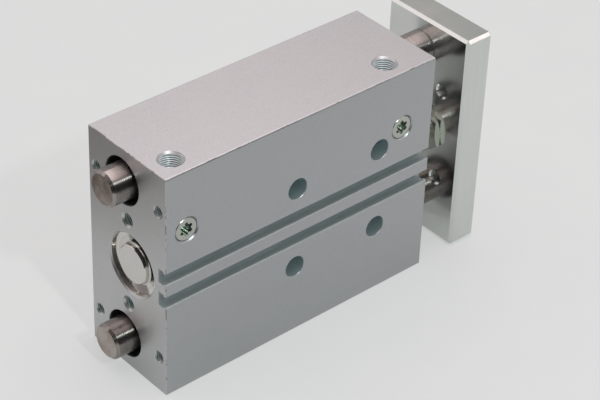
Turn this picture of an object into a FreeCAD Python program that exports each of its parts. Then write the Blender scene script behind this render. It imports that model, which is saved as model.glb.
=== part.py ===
import FreeCAD, Part
import math
import os

# Guided pneumatic cylinder: a bored housing, a piston between two guide rods and a yoke plate
# that joins them. Millimetres. +X is the way the rods travel out and +Z is up. The origin is
# the middle of the housing's bottom face. The pieces stand fully retracted.

# Clearances
press_gap = 0.02             # radial or axial, between pieces pressed or screwed together
running_gap = 0.05           # radial, between a sliding piece and what guides it
stop_gap = 0.3               # between the piston and a bumper at each end of the stroke
piston_gap = 0.2             # radial, between the piston's metal and the bore
magnet_gap = 0.15            # radial, between the magnet and the guide band round it
bumper_gap = 1.2             # radial, between a bumper and the bore
rod_hole_gap = 0.3           # radial, between the rod and the bearing cap's metal
nut_gap = 0.3                # radial, between the piston nut's corners and its recess
screw_gap = 0.3              # radial, between a plate screw's shank and its hole
screw_head_gap = 0.5         # radial, between a plate screw's head and its recess
cutter_overrun = 1.0         # how far a cutter stands out of the face it enters

# Piston line
stroke = 80.0
bore_diameter = 25.0
bore_rear_chamfer = 0.7
bore_front_chamfer = 0.5
piston_web = 1.8             # wall between the piston nut and the magnet
magnet_width = 4.0
magnet_wall = 3.0
piston_seal_width = 2.6
piston_seal_depth = 2.0
wear_ring_depth = 1.8
wear_ring_slit = 0.8
spigot_diameter = 8.0
piston_nut_across = 13.0
piston_nut_height = 4.0
piston_nut_sink = 0.2
rod_o_ring_width = 1.9
rod_o_ring_depth = 1.2
piston_rod_diameter = 10.0

# Bumpers, pneumatic ports and their plugs
bumper_thickness = 2.4
bumper_wall = 2.8
bumper_stand = 0.4           # how far a bumper stands proud of the nose that carries it
bumper_edge = 0.5
port_bore = 8.566
port_chamfer = 0.72
port_depth = 8.0
port_from_rear = 9.3
port_inset = 1.65            # from the bore's near wall to the ports' axes
port_margin = 0.3            # between a drilled passage and the rim of an end cap
passage_diameter = 3.6
passage_reach = 5.0          # above the piston line, where the drilled passage ends
plug_diameter = 9.7
plug_mouth_chamfer = 0.5
plug_height = 22.8           # above the piston line
plug_from_front = 15.0
plug_length = 5.5
plug_sink = 0.4              # how far a plug's face stays inside the near face
plug_chamfer = 0.45
plug_socket_across = 5.7     # over the points of the six-lobed socket
plug_socket_depth = 2.4

# Guide line
guide_offset = 2.6           # from the middle of the width, away from the sensor slots
guide_mouth_chamfer = 0.25
guide_cover = 4.2            # wall above and below the guide bores
guide_rod_diameter = 14.0
guide_rod_tail = 8.5         # how far the rods stand out of the rear face when retracted
guide_rod_chamfer = 1.0
guide_rod_seat_chamfer = 0.6
guide_bush_wall = 2.23
guide_bush_length = 22.0
guide_bush_from_rear = 10.0
guide_wiper_width = 4.0
guide_wiper_sink = 0.5
guide_wiper_lip = 1.0

# Housing block
far_wall = 11.25             # between the piston bore and the far face
long_edge_radius = 0.6
end_edge = 0.2               # broken edges round the two end faces
slot_spacing = 10.1
slot_opening = 4.5
slot_inner = 6.0
slot_lip = 1.4
slot_depth = 4.2
slot_floor = 3.05            # wall between a slot and the piston bore
slot_edge = 0.4
side_hole_diameter = 5.2
side_hole_web = 4.6          # between a side hole and the guide bore beyond it
side_hole_pitch = 40.0
side_sink_diameter = 8.7
side_sink_chamfer = 0.15
side_sink_depth = 8.0
side_sink_wall = 0.65        # between a screw head's recess and the piston bore
side_sink_port_wall = 2.25   # between a screw head's recess and the front passage
side_far_chamfer = 0.55
rear_corner_bore = 4.2
rear_corner_chamfer = 0.5
rear_corner_depth = 12.0
rear_corner_edge = 4.25
rear_corner_pitch = 64.0
rear_pair_bore = 5.0
rear_pair_chamfer = 0.75
rear_pair_depth = 14.0

# End caps
cap_recess = 2.5
cap_boss_diameter = 15.4
cap_boss_sink = 0.3          # how far the boss stays inside the rear face
cap_boss_edge = 0.3
cap_groove_fillet = 0.9
cap_ring_width = 2.2
cap_ring_depth = 1.4
front_cap_sink = 3.0
front_nose_length = 4.3
front_ring_from_rim = 3.5
rod_bush_length = 8.0
rod_bush_wall = 1.0
rod_bush_sink = 0.4
rod_bush_shoulder = 1.0      # wall between the bush and the seal pocket
rod_seal_width = 3.2
rod_seal_depth = 3.0
rod_wiper_width = 3.4
rod_wiper_sink = 0.38
rod_wiper_lip = 1.0
circlip_thickness = 1.2
circlip_groove_depth = 0.6
circlip_width = 2.4
circlip_gap_degrees = 46.0
circlip_lug_diameter = 4.2
circlip_lug_hole = 1.8

# Yoke plate and what fastens it
plate_gap = 17.0             # between the housing and the plate when retracted
plate_thickness = 13.0
plate_inset = 0.3            # how far the plate stays inside the housing's outline
plate_chamfer = 1.1
plate_hole_bore = 5.0
plate_hole_chamfer = 0.65
plate_hole_pitch_y = 20.0
plate_hole_pitch_z = 40.0
rod_thread_step = 0.05       # radial, from the ground rod down to its thread
rod_thread_chamfer = 0.9
rod_thread_sink = 1.0
rod_thread_run = 2.0         # thread left free behind the lock nut
rod_hole_chamfer = 0.35
rod_flat_across = 8.5
rod_flat_length = 6.0
rod_socket_across = 5.0
rod_socket_depth = 4.0
lock_nut_across = 18.0
lock_nut_thickness = 2.8
lock_nut_turn = -7.0         # degrees, as the nut came to rest when it was tightened
screw_diameter = 6.0
screw_head_diameter = 10.0
screw_head_height = 6.0
screw_head_sink = 0.6
screw_engagement = 14.0
screw_socket_across = 5.0
screw_socket_depth = 3.0
screw_head_edge = 0.5
tap_spare = 6.0              # tapped depth past the end of a screw

# Sizes that follow
bore_radius = bore_diameter / 2
guide_bore_diameter = guide_rod_diameter + 2 * (running_gap + guide_bush_wall + press_gap)
nose_diameter = bore_diameter - 2 * (bumper_gap + bumper_wall)
wear_ring_inner = bore_radius - running_gap - wear_ring_depth
magnet_radius = wear_ring_inner - magnet_gap
piston_hub_radius = magnet_radius - magnet_wall
piston_half_length = piston_nut_sink + piston_nut_height + piston_web
piston_length = 2 * piston_half_length + magnet_width
seal_pocket_radius = piston_rod_diameter / 2 + rod_seal_depth
seal_pocket_depth = rod_seal_width + press_gap + rod_wiper_width + rod_wiper_sink
plug_bore = plug_diameter + 2 * press_gap
rod_thread_diameter = piston_rod_diameter - 2 * rod_thread_step
thread_hole_diameter = rod_thread_diameter + 2 * press_gap
plate_sink_depth = screw_head_height + screw_head_sink
side_hole_drop = bore_radius + side_sink_wall + side_sink_diameter / 2
guide_drop = side_hole_drop + (side_hole_diameter + guide_bore_diameter) / 2 + side_hole_web
near_wall = slot_depth + slot_floor
port_from_near = near_wall + port_inset

# Places along the stroke, measured from the rear face
rear_rim_end = port_from_rear - passage_diameter / 2 - port_margin
piston_rear = rear_rim_end + bumper_thickness + stop_gap
piston_front = piston_rear + piston_length
front_bumper_face = piston_front + stroke + stop_gap
front_rim = front_bumper_face + front_nose_length
front_port = front_rim - port_margin - passage_diameter / 2
front_nose = front_bumper_face + bumper_stand
seal_pocket = front_nose + rod_bush_sink + rod_bush_length + rod_bush_shoulder
body_length = seal_pocket + seal_pocket_depth + front_cap_sink

# Faces and axes in the part's frame
body_width = near_wall + bore_diameter + far_wall
body_height = 2 * guide_drop + guide_bore_diameter + 2 * guide_cover
rear_x = -body_length / 2
front_x = body_length / 2
near_y = -body_width / 2
far_y = body_width / 2
axis_z = body_height / 2
bore_offset = near_y + near_wall + bore_radius
guide_heights = {"lower": axis_z - guide_drop, "upper": axis_z + guide_drop}
port_y = near_y + port_from_near
port_places = {"rear": rear_x + port_from_rear, "front": rear_x + front_port}
plug_places = {"rear": rear_x + port_from_rear, "front": front_x - plug_from_front}
plate_x = front_x + plate_gap
plate_front_x = plate_x + plate_thickness
front_cap_x = front_x - front_cap_sink
lock_nut_x = plate_x - lock_nut_thickness


def point(x, y, z):
    return FreeCAD.Vector(x, y, z)


def cylinder_x(start, end, diameter, y, z):
    """Cylinder along X between two stations."""
    return Part.makeCylinder(diameter / 2, end - start, point(start, y, z), point(1, 0, 0))


def turned(outline, y, z):
    """Solid of revolution: a closed outline of (station, radius) about the X line at y, z."""
    corners = [point(x, y, z + radius) for x, radius in outline]
    face = Part.Face(Part.makePolygon(corners + corners[:1]))
    return face.revolve(point(0, y, z), point(1, 0, 0), 360)


def hole(mouth, outward, diameter, depth, chamfer=0.0):
    """Cutter of a drilled hole with a chamfered mouth and a 118 degree drill point."""
    radius = diameter / 2
    tip = radius / math.tan(math.radians(59))
    outline = [(cutter_overrun, 0), (cutter_overrun, radius + chamfer)]
    if chamfer > 0:
        outline.append((0, radius + chamfer))
    outline = outline + [(-chamfer, radius), (-depth, radius), (-depth - tip, 0)]
    cutter = turned(outline, 0, 0)
    turn = FreeCAD.Rotation(point(1, 0, 0), outward)
    cutter.Placement = FreeCAD.Placement(mouth, turn)
    return cutter


def through_hole(start, end, diameter, start_chamfer, end_chamfer, y, z):
    """Cutter along X through a body from start to end, chamfered at both mouths."""
    radius = diameter / 2
    outline = [(start - cutter_overrun, 0), (start - cutter_overrun, radius + start_chamfer),
               (start, radius + start_chamfer), (start + start_chamfer, radius),
               (end - end_chamfer, radius), (end, radius + end_chamfer),
               (end + cutter_overrun, radius + end_chamfer), (end + cutter_overrun, 0)]
    return turned(outline, y, z)


def hexagon(across, start, end, y, z, turn=0.0):
    """Hexagonal prism along X with two flats facing Y when turn is 0."""
    corner_radius = across / 2 / math.cos(math.radians(30))
    corners = []
    for i in range(6):
        angle = math.radians(30 + 60 * i + turn)
        corners.append(point(start, y + corner_radius * math.cos(angle),
                             z + corner_radius * math.sin(angle)))
    face = Part.Face(Part.makePolygon(corners + corners[:1]))
    return face.extrude(point(end - start, 0, 0))


def hex_nut(across, start, end, bore, y, z, turn=0.0):
    """Hexagon nut with both ends chamfered at 30 degrees to the flats' inscribed circle."""
    prism = hexagon(across, start, end, y, z, turn)
    flat_radius = across / 2
    corner_radius = flat_radius / math.cos(math.radians(30))
    rise = (corner_radius - flat_radius) * math.tan(math.radians(30))
    outline = [(start, 0), (start, flat_radius), (start + rise, corner_radius),
               (end - rise, corner_radius), (end, flat_radius), (end, 0)]
    nut = prism.common(turned(outline, y, z))
    return nut.cut(cylinder_x(start - cutter_overrun, end + cutter_overrun, bore, y, z))


def six_lobe_socket(mouth_x, depth, across, y, z):
    """Cutter of a six-lobed socket: a core circle with six round lobes on its rim."""
    lobe_radius = across * 0.13
    lobe_circle = across / 2 - lobe_radius
    cutter = cylinder_x(mouth_x - depth, mouth_x + cutter_overrun, across * 0.72, y, z)
    for i in range(6):
        angle = math.radians(60 * i + 30)
        cutter = cutter.fuse(cylinder_x(mouth_x - depth, mouth_x + cutter_overrun, 2 * lobe_radius,
                                        y + lobe_circle * math.cos(angle),
                                        z + lobe_circle * math.sin(angle)))
    return cutter.removeSplitter()


def seated_ring(start, width, inner_radius, outer_radius, y, z):
    """Elastomer ring squeezed into its groove, so its section is a square with broken corners."""
    inner = inner_radius + press_gap
    outer = outer_radius - press_gap
    bevel = (outer - inner) * 0.3
    left = start + press_gap
    right = start + width - press_gap
    outline = [(left, inner + bevel), (left, outer - bevel), (left + bevel, outer),
               (right - bevel, outer), (right, outer - bevel), (right, inner + bevel),
               (right - bevel, inner), (left + bevel, inner)]
    return turned(outline, y, z)


def lip_ring(start, width, inner_radius, outer_radius, y, z, lips=1.0, facing=1):
    """Lip seal: a ring with a V notch between its two lips on the side it faces."""
    middle = (inner_radius + outer_radius) / 2
    notch = (outer_radius - inner_radius) * 0.22
    outline = [(0, inner_radius), (0, outer_radius), (width, outer_radius), (width, middle + notch),
               (width - width * 0.5 * lips, middle), (width, middle - notch), (width, inner_radius)]
    if facing > 0:
        outline = [(start + x, radius) for x, radius in outline]
    else:
        outline = [(start + width - x, radius) for x, radius in outline]
    return turned(outline, y, z)


def slot_cutter(z):
    """Sensor slot: a T-section that runs the whole length of the near face."""
    half_open = slot_opening / 2
    half_inner = slot_inner / 2
    section = [(-cutter_overrun, half_open + slot_edge), (0, half_open + slot_edge),
               (slot_edge, half_open), (slot_lip, half_open), (slot_lip, half_inner),
               (slot_depth, half_inner)]
    section = section + [(depth, -half) for depth, half in reversed(section)]
    corners = [point(rear_x - cutter_overrun, near_y + depth, z + half) for depth, half in section]
    face = Part.Face(Part.makePolygon(corners + corners[:1]))
    return face.extrude(point(body_length + 2 * cutter_overrun, 0, 0))


def bore_cutters():
    """The piston bore, the two guide bores and the front circlip's groove."""
    cutters = [through_hole(rear_x, front_x, bore_diameter, bore_rear_chamfer,
                            bore_front_chamfer, bore_offset, axis_z)]
    for height in guide_heights.values():
        cutters.append(through_hole(rear_x, front_x, guide_bore_diameter, guide_mouth_chamfer,
                                    guide_mouth_chamfer, guide_offset, height))
    cutters.append(cylinder_x(front_cap_x, front_cap_x + circlip_thickness + 2 * press_gap,
                              bore_diameter + 2 * circlip_groove_depth, bore_offset, axis_z))
    return cutters


def port_cutters():
    """Threaded ports on top, the drilled passages below them and the plugged side ports."""
    cutters = []
    passage_length = body_height - port_depth - axis_z - passage_reach
    for name, x in port_places.items():
        cutters.append(hole(point(x, port_y, body_height), point(0, 0, 1), port_bore, port_depth,
                            port_chamfer))
        cutters.append(hole(point(x, port_y, body_height - port_depth), point(0, 0, 1),
                            passage_diameter, passage_length))
        cutters.append(Part.makeCylinder(plug_bore / 2, port_from_near + cutter_overrun,
                                         point(plug_places[name], near_y - cutter_overrun,
                                               axis_z + plug_height), point(0, 1, 0)))
        cutters.append(hole(point(plug_places[name], near_y, axis_z + plug_height),
                            point(0, -1, 0), plug_bore, plug_sink + plug_length,
                            plug_mouth_chamfer))
    return cutters


def side_hole_cutters():
    """Through holes across the width, sunk for screw heads on the near side."""
    cutters = []
    first = port_places["front"] - passage_diameter / 2 - side_sink_port_wall
    first = first - side_sink_diameter / 2
    hole_radius = side_hole_diameter / 2
    sink_radius = side_sink_diameter / 2
    for x in (first, first - side_hole_pitch):
        for z in (axis_z - side_hole_drop, axis_z + side_hole_drop):
            cutters.append(Part.makeCylinder(hole_radius, body_width + 2 * cutter_overrun,
                                             point(x, near_y - cutter_overrun, z), point(0, 1, 0)))
            cutters.append(Part.makeCylinder(sink_radius, side_sink_depth,
                                             point(x, near_y, z), point(0, 1, 0)))
            cutters.append(Part.makeCone(sink_radius + side_sink_chamfer, sink_radius,
                                         side_sink_chamfer, point(x, near_y, z), point(0, 1, 0)))
            cutters.append(Part.makeCone(hole_radius + side_far_chamfer, hole_radius,
                                         side_far_chamfer, point(x, far_y, z), point(0, -1, 0)))
    return cutters


def rear_hole_cutters():
    """Tapped holes of the rear face: four at the corners and a pair in the webs."""
    cutters = []
    column = body_width / 2 - rear_corner_edge
    for y in (-column, column):
        for z in (axis_z - rear_corner_pitch / 2, axis_z + rear_corner_pitch / 2):
            cutters.append(hole(point(rear_x, y, z), point(-1, 0, 0), rear_corner_bore,
                                rear_corner_depth, rear_corner_chamfer))
    web_middle = (bore_radius + guide_drop - guide_bore_diameter / 2) / 2
    for z in (axis_z - web_middle, axis_z + web_middle):
        cutters.append(hole(point(rear_x, 0, z), point(-1, 0, 0), rear_pair_bore, rear_pair_depth,
                            rear_pair_chamfer))
    return cutters


def housing():
    """Extruded block with its bores, ports, slots and fastening holes."""
    block = Part.makeBox(body_length, body_width, body_height, point(rear_x, near_y, 0))
    long_edges = [edge for edge in block.Edges if abs(edge.tangentAt(0).x) > 0.99]
    block = block.makeFillet(long_edge_radius, long_edges)
    rims = [edge for edge in block.Edges
            if min(abs(edge.CenterOfMass.x - x) for x in (rear_x, front_x)) < 0.001]
    block = block.makeChamfer(end_edge, rims)
    cutters = bore_cutters() + port_cutters() + side_hole_cutters() + rear_hole_cutters()
    cutters = cutters + [slot_cutter(axis_z + side * slot_spacing / 2) for side in (-1, 1)]
    for cutter in cutters:
        block = block.cut(cutter)
    return block.removeSplitter()


def rear_end_cap():
    """Pressed-in cap with a boss just inside the rear face and a nose for the bumper."""
    face = rear_x + cap_boss_sink
    floor = rear_x + cap_recess
    rim_end = rear_x + rear_rim_end
    rim = bore_radius - press_gap
    groove = (floor + rim_end - cap_ring_width) / 2
    boss = cap_boss_diameter / 2
    nose_end = rim_end + bumper_thickness - bumper_stand
    outline = [(face, 0), (face, boss - cap_boss_edge), (face + cap_boss_edge, boss),
               (floor, boss), (floor, rim), (groove, rim), (groove, rim - cap_ring_depth),
               (groove + cap_ring_width, rim - cap_ring_depth), (groove + cap_ring_width, rim),
               (rim_end, rim), (rim_end, nose_diameter / 2), (nose_end, nose_diameter / 2),
               (nose_end, 0)]
    cap = turned(outline, bore_offset, axis_z)
    root = [edge for edge in cap.Edges if edge.Curve.TypeId == "Part::GeomCircle"
            and abs(edge.Curve.Radius - boss) < 0.001 and abs(edge.Curve.Center.x - floor) < 0.001]
    return cap.makeFillet(cap_groove_fillet, root)


def rear_cap_o_ring():
    floor = rear_x + cap_recess
    groove = (floor + rear_x + rear_rim_end - cap_ring_width) / 2
    inner = bore_radius - press_gap - cap_ring_depth
    return seated_ring(groove, cap_ring_width, inner, bore_radius, bore_offset, axis_z)


def bumper(start):
    """Elastomer stop ring with broken outer edges, on the nose of an end cap."""
    inner = nose_diameter / 2 + press_gap
    outer = bore_radius - bumper_gap
    end = start + bumper_thickness
    outline = [(start, inner), (start, outer - bumper_edge), (start + bumper_edge, outer),
               (end - bumper_edge, outer), (end, outer - bumper_edge), (end, inner)]
    return turned(outline, bore_offset, axis_z)


def rear_bumper():
    return bumper(rear_x + rear_rim_end)


def front_bumper():
    return bumper(rear_x + front_bumper_face)


def front_bearing_cap():
    """Cap that carries the rod's bush and seals, held by the circlip in front of it."""
    rim_start = rear_x + front_rim
    rim = bore_radius - press_gap
    nose_start = rear_x + front_nose
    bush_end = nose_start + rod_bush_sink + rod_bush_length
    bush_seat = piston_rod_diameter / 2 + running_gap + rod_bush_wall + press_gap
    rod_hole = piston_rod_diameter / 2 + rod_hole_gap
    pocket = rear_x + seal_pocket
    groove = rim_start + front_ring_from_rim
    outline = [(nose_start, bush_seat), (nose_start, nose_diameter / 2),
               (rim_start, nose_diameter / 2), (rim_start, rim), (groove, rim),
               (groove, rim - cap_ring_depth), (groove + cap_ring_width, rim - cap_ring_depth),
               (groove + cap_ring_width, rim), (front_cap_x, rim),
               (front_cap_x, seal_pocket_radius), (pocket, seal_pocket_radius),
               (pocket, rod_hole), (bush_end, rod_hole), (bush_end, bush_seat)]
    return turned(outline, bore_offset, axis_z)


def front_cap_o_ring():
    inner = bore_radius - press_gap - cap_ring_depth
    return seated_ring(rear_x + front_rim + front_ring_from_rim, cap_ring_width, inner, bore_radius,
                       bore_offset, axis_z)


def front_circlip():
    """Internal circlip: an arc that thins towards its two eyed lugs."""
    outer = bore_radius + circlip_groove_depth - press_gap
    start = front_cap_x + press_gap
    end = start + circlip_thickness
    inner = outer - circlip_width
    thinning = circlip_width * 0.3
    ring = cylinder_x(start, end, 2 * outer, bore_offset, axis_z)
    ring = ring.cut(cylinder_x(start, end, 2 * inner, bore_offset, axis_z - thinning))
    half_gap = math.radians(circlip_gap_degrees / 2)
    reach = 2 * outer
    corners = [point(start, bore_offset, axis_z),
               point(start, bore_offset - reach * math.sin(half_gap),
                     axis_z - reach * math.cos(half_gap)),
               point(start, bore_offset + reach * math.sin(half_gap),
                     axis_z - reach * math.cos(half_gap))]
    wedge = Part.Face(Part.makePolygon(corners + corners[:1])).extrude(point(end - start, 0, 0))
    ring = ring.cut(wedge)
    lug_circle = bore_radius - circlip_lug_diameter / 2 - press_gap
    lug_angle = half_gap + math.asin(circlip_lug_diameter / 2 / lug_circle)
    for side in (-1, 1):
        y = bore_offset + side * lug_circle * math.sin(lug_angle)
        z = axis_z - lug_circle * math.cos(lug_angle)
        ring = ring.fuse(cylinder_x(start, end, circlip_lug_diameter, y, z))
        ring = ring.cut(cylinder_x(start, end, circlip_lug_hole, y, z))
    return ring.removeSplitter()


def rod_bush():
    start = rear_x + front_nose + rod_bush_sink
    inner = piston_rod_diameter / 2 + running_gap
    outer = inner + rod_bush_wall
    end = start + rod_bush_length
    outline = [(start, inner), (start, outer), (end, outer), (end, inner)]
    return turned(outline, bore_offset, axis_z)


def rod_seal():
    return lip_ring(rear_x + seal_pocket, rod_seal_width,
                    piston_rod_diameter / 2 + running_gap, seal_pocket_radius - press_gap,
                    bore_offset, axis_z, facing=-1)


def rod_wiper():
    """Scraper ring whose lip stands out round the rod."""
    start = rear_x + seal_pocket + rod_seal_width + press_gap
    end = start + rod_wiper_width
    inner = piston_rod_diameter / 2 + running_gap
    outer = seal_pocket_radius - press_gap
    lip = front_cap_x + rod_wiper_lip
    outline = [(start, inner + rod_wiper_lip), (start, outer), (end, outer),
               (end, inner + 1.5 * rod_wiper_lip), (lip, inner + rod_wiper_lip / 2), (lip, inner)]
    return turned(outline, bore_offset, axis_z)


def guide_bush(start, height):
    """Plain bearing bush with broken edges, pressed into a guide bore."""
    inner = guide_rod_diameter / 2 + running_gap
    outer = guide_bore_diameter / 2 - press_gap
    edge = (outer - inner) / 4
    end = start + guide_bush_length
    outline = [(start, inner + edge), (start, outer - edge), (start + edge, outer),
               (end - edge, outer), (end, outer - edge), (end, inner + edge), (end - edge, inner),
               (start + edge, inner)]
    return turned(outline, guide_offset, height)


def guide_wiper(height):
    """Scraper ring at the front mouth of a guide bore."""
    end = front_x - guide_wiper_sink
    start = end - guide_wiper_width
    inner = guide_rod_diameter / 2 + running_gap
    outer = guide_bore_diameter / 2 - press_gap
    middle = (inner + outer) / 2
    outline = [(start, inner + guide_wiper_lip / 2), (start, outer),
               (end - guide_wiper_lip, outer), (end - guide_wiper_lip, middle),
               (end, inner + guide_wiper_lip / 2), (end, inner)]
    return turned(outline, guide_offset, height)


def front_bush_start():
    return front_x - guide_wiper_sink - guide_wiper_width - guide_bush_length


def plug_screw(x):
    """Headless plug with a chamfered face and a six-lobed socket, just inside a side port."""
    radius = plug_diameter / 2
    face = radius - plug_chamfer
    outline = [(0, 0), (0, face), (-plug_chamfer, radius), (plug_chamfer - plug_length, radius),
               (-plug_length, face), (-plug_length, 0)]
    plug = turned(outline, 0, 0)
    plug = plug.cut(six_lobe_socket(0, plug_socket_depth, plug_socket_across, 0, 0))
    turn = FreeCAD.Rotation(point(1, 0, 0), point(0, -1, 0))
    plug.Placement = FreeCAD.Placement(point(x, near_y + plug_sink, axis_z + plug_height), turn)
    return plug


def seal_groove(start):
    """Outline of a seal groove in the middle of a piston half that begins at start."""
    rim = bore_radius - piston_gap
    left = start + (piston_half_length - piston_seal_width) / 2
    right = left + piston_seal_width
    return [(left, rim), (left, rim - piston_seal_depth), (right, rim - piston_seal_depth),
            (right, rim)]


def rear_piston_half():
    """Rear disc of the piston, sunk for the nut that clamps the piston to its rod."""
    start = rear_x + piston_rear
    end = start + piston_half_length
    rim = bore_radius - piston_gap
    sink = piston_nut_across / 2 / math.cos(math.radians(30)) + nut_gap
    sink_end = start + piston_nut_sink + piston_nut_height
    hub = spigot_diameter / 2 + press_gap
    outline = [(start, sink), (start, rim)] + seal_groove(start)
    outline = outline + [(end, rim), (end, hub), (sink_end, hub), (sink_end, sink)]
    return turned(outline, bore_offset, axis_z)


def rod_o_ring_groove():
    """Where the static seal's groove begins in the bore of the front piston half."""
    return rear_x + piston_front - piston_half_length / 2 - rod_o_ring_width / 2


def front_piston_half():
    """Front disc of the piston with the hub that carries the magnet."""
    end = rear_x + piston_front
    start = end - piston_half_length
    hub_start = start - magnet_width
    rim = bore_radius - piston_gap
    hub = piston_hub_radius
    bore = spigot_diameter / 2 + press_gap
    groove = rod_o_ring_groove()
    outline = [(hub_start, bore), (hub_start, hub), (start, hub), (start, rim)]
    outline = outline + seal_groove(start) + [(end, rim), (end, bore)]
    outline = outline + [(groove + rod_o_ring_width, bore),
                         (groove + rod_o_ring_width, bore + rod_o_ring_depth),
                         (groove, bore + rod_o_ring_depth), (groove, bore)]
    return turned(outline, bore_offset, axis_z)


def piston_rod_o_ring():
    bore = spigot_diameter / 2 + press_gap
    return seated_ring(rod_o_ring_groove(), rod_o_ring_width, spigot_diameter / 2,
                       bore + rod_o_ring_depth, bore_offset, axis_z)


def magnet_band(inner, outer):
    """Ring between the two piston halves."""
    start = rear_x + piston_rear + piston_half_length + press_gap
    end = start + magnet_width - 2 * press_gap
    outline = [(start, inner), (start, outer), (end, outer), (end, inner)]
    return turned(outline, bore_offset, axis_z)


def piston_magnet():
    return magnet_band(piston_hub_radius + press_gap, magnet_radius)


def piston_wear_ring():
    """Split guide band round the magnet."""
    ring = magnet_band(wear_ring_inner, bore_radius - running_gap)
    slit = Part.makeBox(piston_length, wear_ring_slit, bore_diameter,
                        point(rear_x + piston_rear, bore_offset - wear_ring_slit / 2, axis_z))
    return ring.cut(slit)


def piston_seal(start, facing):
    rim = bore_radius - piston_gap
    left = start + (piston_half_length - piston_seal_width) / 2
    return lip_ring(left + press_gap, piston_seal_width - 2 * press_gap,
                    rim - piston_seal_depth + press_gap, bore_radius - running_gap, bore_offset,
                    axis_z, facing=facing)


def rear_piston_seal():
    return piston_seal(rear_x + piston_rear, -1)


def front_piston_seal():
    return piston_seal(rear_x + piston_front - piston_half_length, 1)


def piston_nut():
    start = rear_x + piston_rear + piston_nut_sink
    return hex_nut(piston_nut_across, start, start + piston_nut_height,
                   spigot_diameter + 2 * press_gap, bore_offset, axis_z)


def piston_rod():
    """Ground rod with a spigot for the piston, two wrench flats and a threaded front end."""
    spigot_start = rear_x + piston_rear + piston_nut_sink
    shoulder = rear_x + piston_front
    thread_start = lock_nut_x - rod_thread_run
    end = plate_front_x - rod_thread_sink
    spigot = spigot_diameter / 2
    rod = piston_rod_diameter / 2
    thread = rod_thread_diameter / 2
    outline = [(spigot_start, 0), (spigot_start, spigot - rod_thread_chamfer),
               (spigot_start + rod_thread_chamfer, spigot), (shoulder, spigot), (shoulder, rod),
               (thread_start, rod), (thread_start + rod - thread, thread),
               (end - rod_thread_chamfer, thread), (end, thread - rod_thread_chamfer), (end, 0)]
    shape = turned(outline, bore_offset, axis_z)
    flat_start = thread_start - rod_flat_length
    for side in (-1, 1):
        y = bore_offset + side * (rod_flat_across + piston_rod_diameter) / 2
        shape = shape.cut(Part.makeBox(rod_flat_length, piston_rod_diameter,
                                       2 * piston_rod_diameter,
                                       point(flat_start, y - piston_rod_diameter / 2,
                                             axis_z - piston_rod_diameter)))
    return shape.cut(hexagon(rod_socket_across, end - rod_socket_depth, end + cutter_overrun,
                             bore_offset, axis_z))


def rod_lock_nut():
    return hex_nut(lock_nut_across, lock_nut_x, plate_x, thread_hole_diameter, bore_offset, axis_z,
                   lock_nut_turn)


def guide_rod(height):
    """Hardened guide rod: chamfered tail, tapped front end that butts on the yoke plate."""
    start = rear_x - guide_rod_tail
    radius = guide_rod_diameter / 2
    outline = [(start, 0), (start, radius - guide_rod_chamfer), (start + guide_rod_chamfer, radius),
               (plate_x - guide_rod_seat_chamfer, radius), (plate_x, radius - guide_rod_seat_chamfer),
               (plate_x, 0)]
    rod = turned(outline, guide_offset, height)
    return rod.cut(hole(point(plate_x, guide_offset, height), point(1, 0, 0),
                        screw_diameter + 2 * press_gap, screw_engagement + tap_spare))


def guide_rod_screw(height):
    """Socket head cap screw sunk in the yoke plate."""
    seat = plate_front_x - plate_sink_depth
    head = screw_head_diameter / 2
    shank = screw_diameter / 2
    top = seat + screw_head_height
    tip = plate_x - screw_engagement
    outline = [(tip, 0), (tip, shank - screw_head_edge), (tip + screw_head_edge, shank),
               (seat, shank), (seat, head), (top - screw_head_edge, head),
               (top, head - screw_head_edge), (top, 0)]
    screw = turned(outline, guide_offset, height)
    return screw.cut(hexagon(screw_socket_across, top - screw_socket_depth, top + cutter_overrun,
                             guide_offset, height))


def yoke_plate():
    """Plate that joins the rods, chamfered all round, with four tapped holes for the load."""
    plate = Part.makeBox(plate_thickness, body_width - 2 * plate_inset,
                         body_height - 2 * plate_inset,
                         point(plate_x, near_y + plate_inset, plate_inset))
    plate = plate.makeChamfer(plate_chamfer, plate.Edges)
    cutters = [through_hole(plate_x, plate_front_x, thread_hole_diameter, rod_hole_chamfer,
                            rod_hole_chamfer, bore_offset, axis_z)]
    for y in (-plate_hole_pitch_y / 2, plate_hole_pitch_y / 2):
        for z in (axis_z - plate_hole_pitch_z / 2, axis_z + plate_hole_pitch_z / 2):
            cutters.append(through_hole(plate_x, plate_front_x, plate_hole_bore,
                                        plate_hole_chamfer, plate_hole_chamfer, y, z))
    for height in guide_heights.values():
        cutters.append(cylinder_x(plate_x - cutter_overrun, plate_front_x + cutter_overrun,
                                  screw_diameter + 2 * screw_gap, guide_offset, height))
        cutters.append(cylinder_x(plate_front_x - plate_sink_depth,
                                  plate_front_x + cutter_overrun,
                                  screw_head_diameter + 2 * screw_head_gap, guide_offset, height))
    for cutter in cutters:
        plate = plate.cut(cutter)
    return plate.removeSplitter()


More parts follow.
